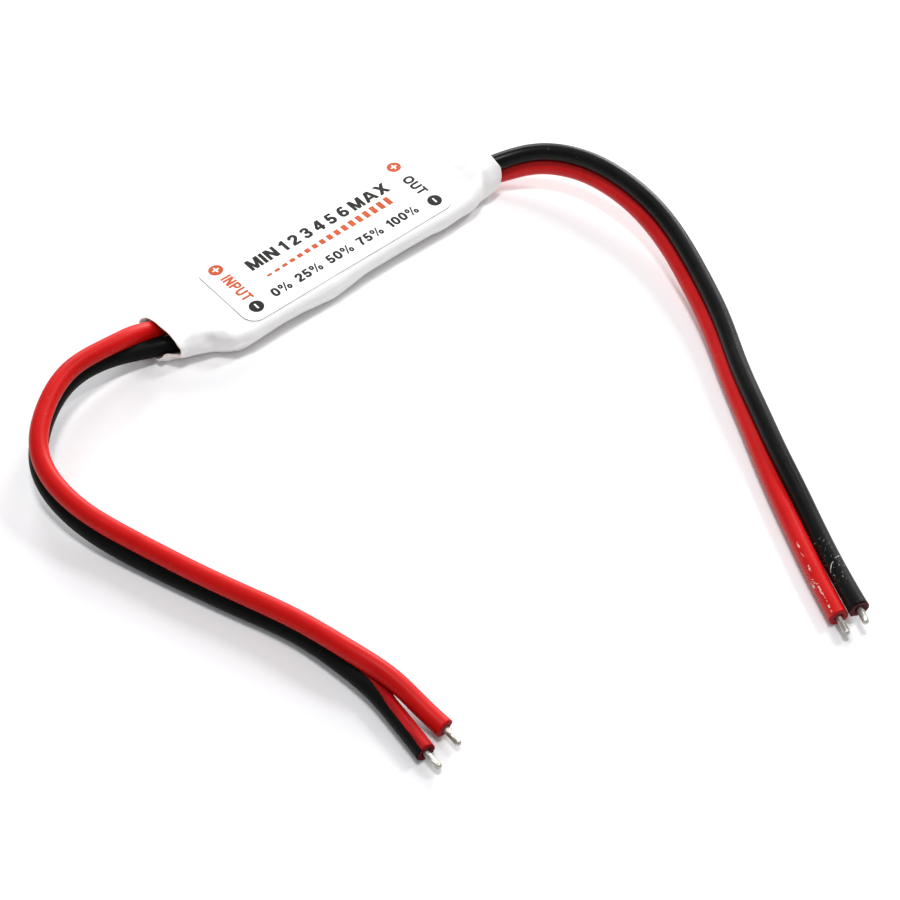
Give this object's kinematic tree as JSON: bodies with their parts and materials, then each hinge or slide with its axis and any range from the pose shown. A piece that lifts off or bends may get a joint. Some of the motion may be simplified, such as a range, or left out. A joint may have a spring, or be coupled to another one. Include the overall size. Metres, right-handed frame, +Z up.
{
  "type": "led strip controller",
  "caption": "Slim in-line controller for LED strip: a small circuit board in a labelled, shrunk white sleeve with a bonded red and black lead at each end.",
  "frame": {"origin": "middle of the underside of the sleeve", "axes": "+X along the sleeve from the input lead to the output lead, +Y across it, away from the side that both leads bend to, +Z up out of the labelled face"},
  "size_m": [0.0723, 0.0773, 0.006],
  "materials": {
    "sleeve": "satin, shrunk tube",
    "label": "printed film",
    "board": "solder mask over glass fibre",
    "copper": "tinned copper land",
    "chip": "moulded package",
    "tinned_lead": "bright tin",
    "crystal_can": "nickel can",
    "ceramic": "fired ceramic",
    "resistor": "coated ceramic",
    "enamel": "enamelled wire",
    "solder": "bright solder",
    "red_pvc": "soft glossy insulation",
    "black_pvc": "soft glossy insulation",
    "tinned_copper": "tinned strands"
  },
  "bodies": {
    "root": {"heat_shrink_sleeve": "sleeve", "label": "label", "circuit_board": "board", "copper_lands": "copper", "microcontroller": "chip", "microcontroller_leads": "tinned_lead", "rf_receiver": "chip", "rf_receiver_leads": "tinned_lead", "receiver_crystal": "crystal_can", "power_mosfet": "chip", "mosfet_leads": "tinned_lead", "voltage_regulator": "chip", "regulator_leads": "tinned_lead", "input_diode": "chip", "diode_leads": "tinned_lead", "ceramic_capacitors": "ceramic", "capacitor_terminals": "tinned_lead", "chip_resistors": "resistor", "resistor_terminals": "tinned_lead", "antenna_wire": "enamel", "input_solder_joints": "solder", "output_solder_joints": "solder", "red_input_insulation": "red_pvc", "black_input_insulation": "black_pvc", "red_output_insulation": "red_pvc", "black_output_insulation": "black_pvc", "red_input_conductor": "tinned_copper", "black_input_conductor": "tinned_copper", "red_output_conductor": "tinned_copper", "black_output_conductor": "tinned_copper"}
  },
  "joints": []
}
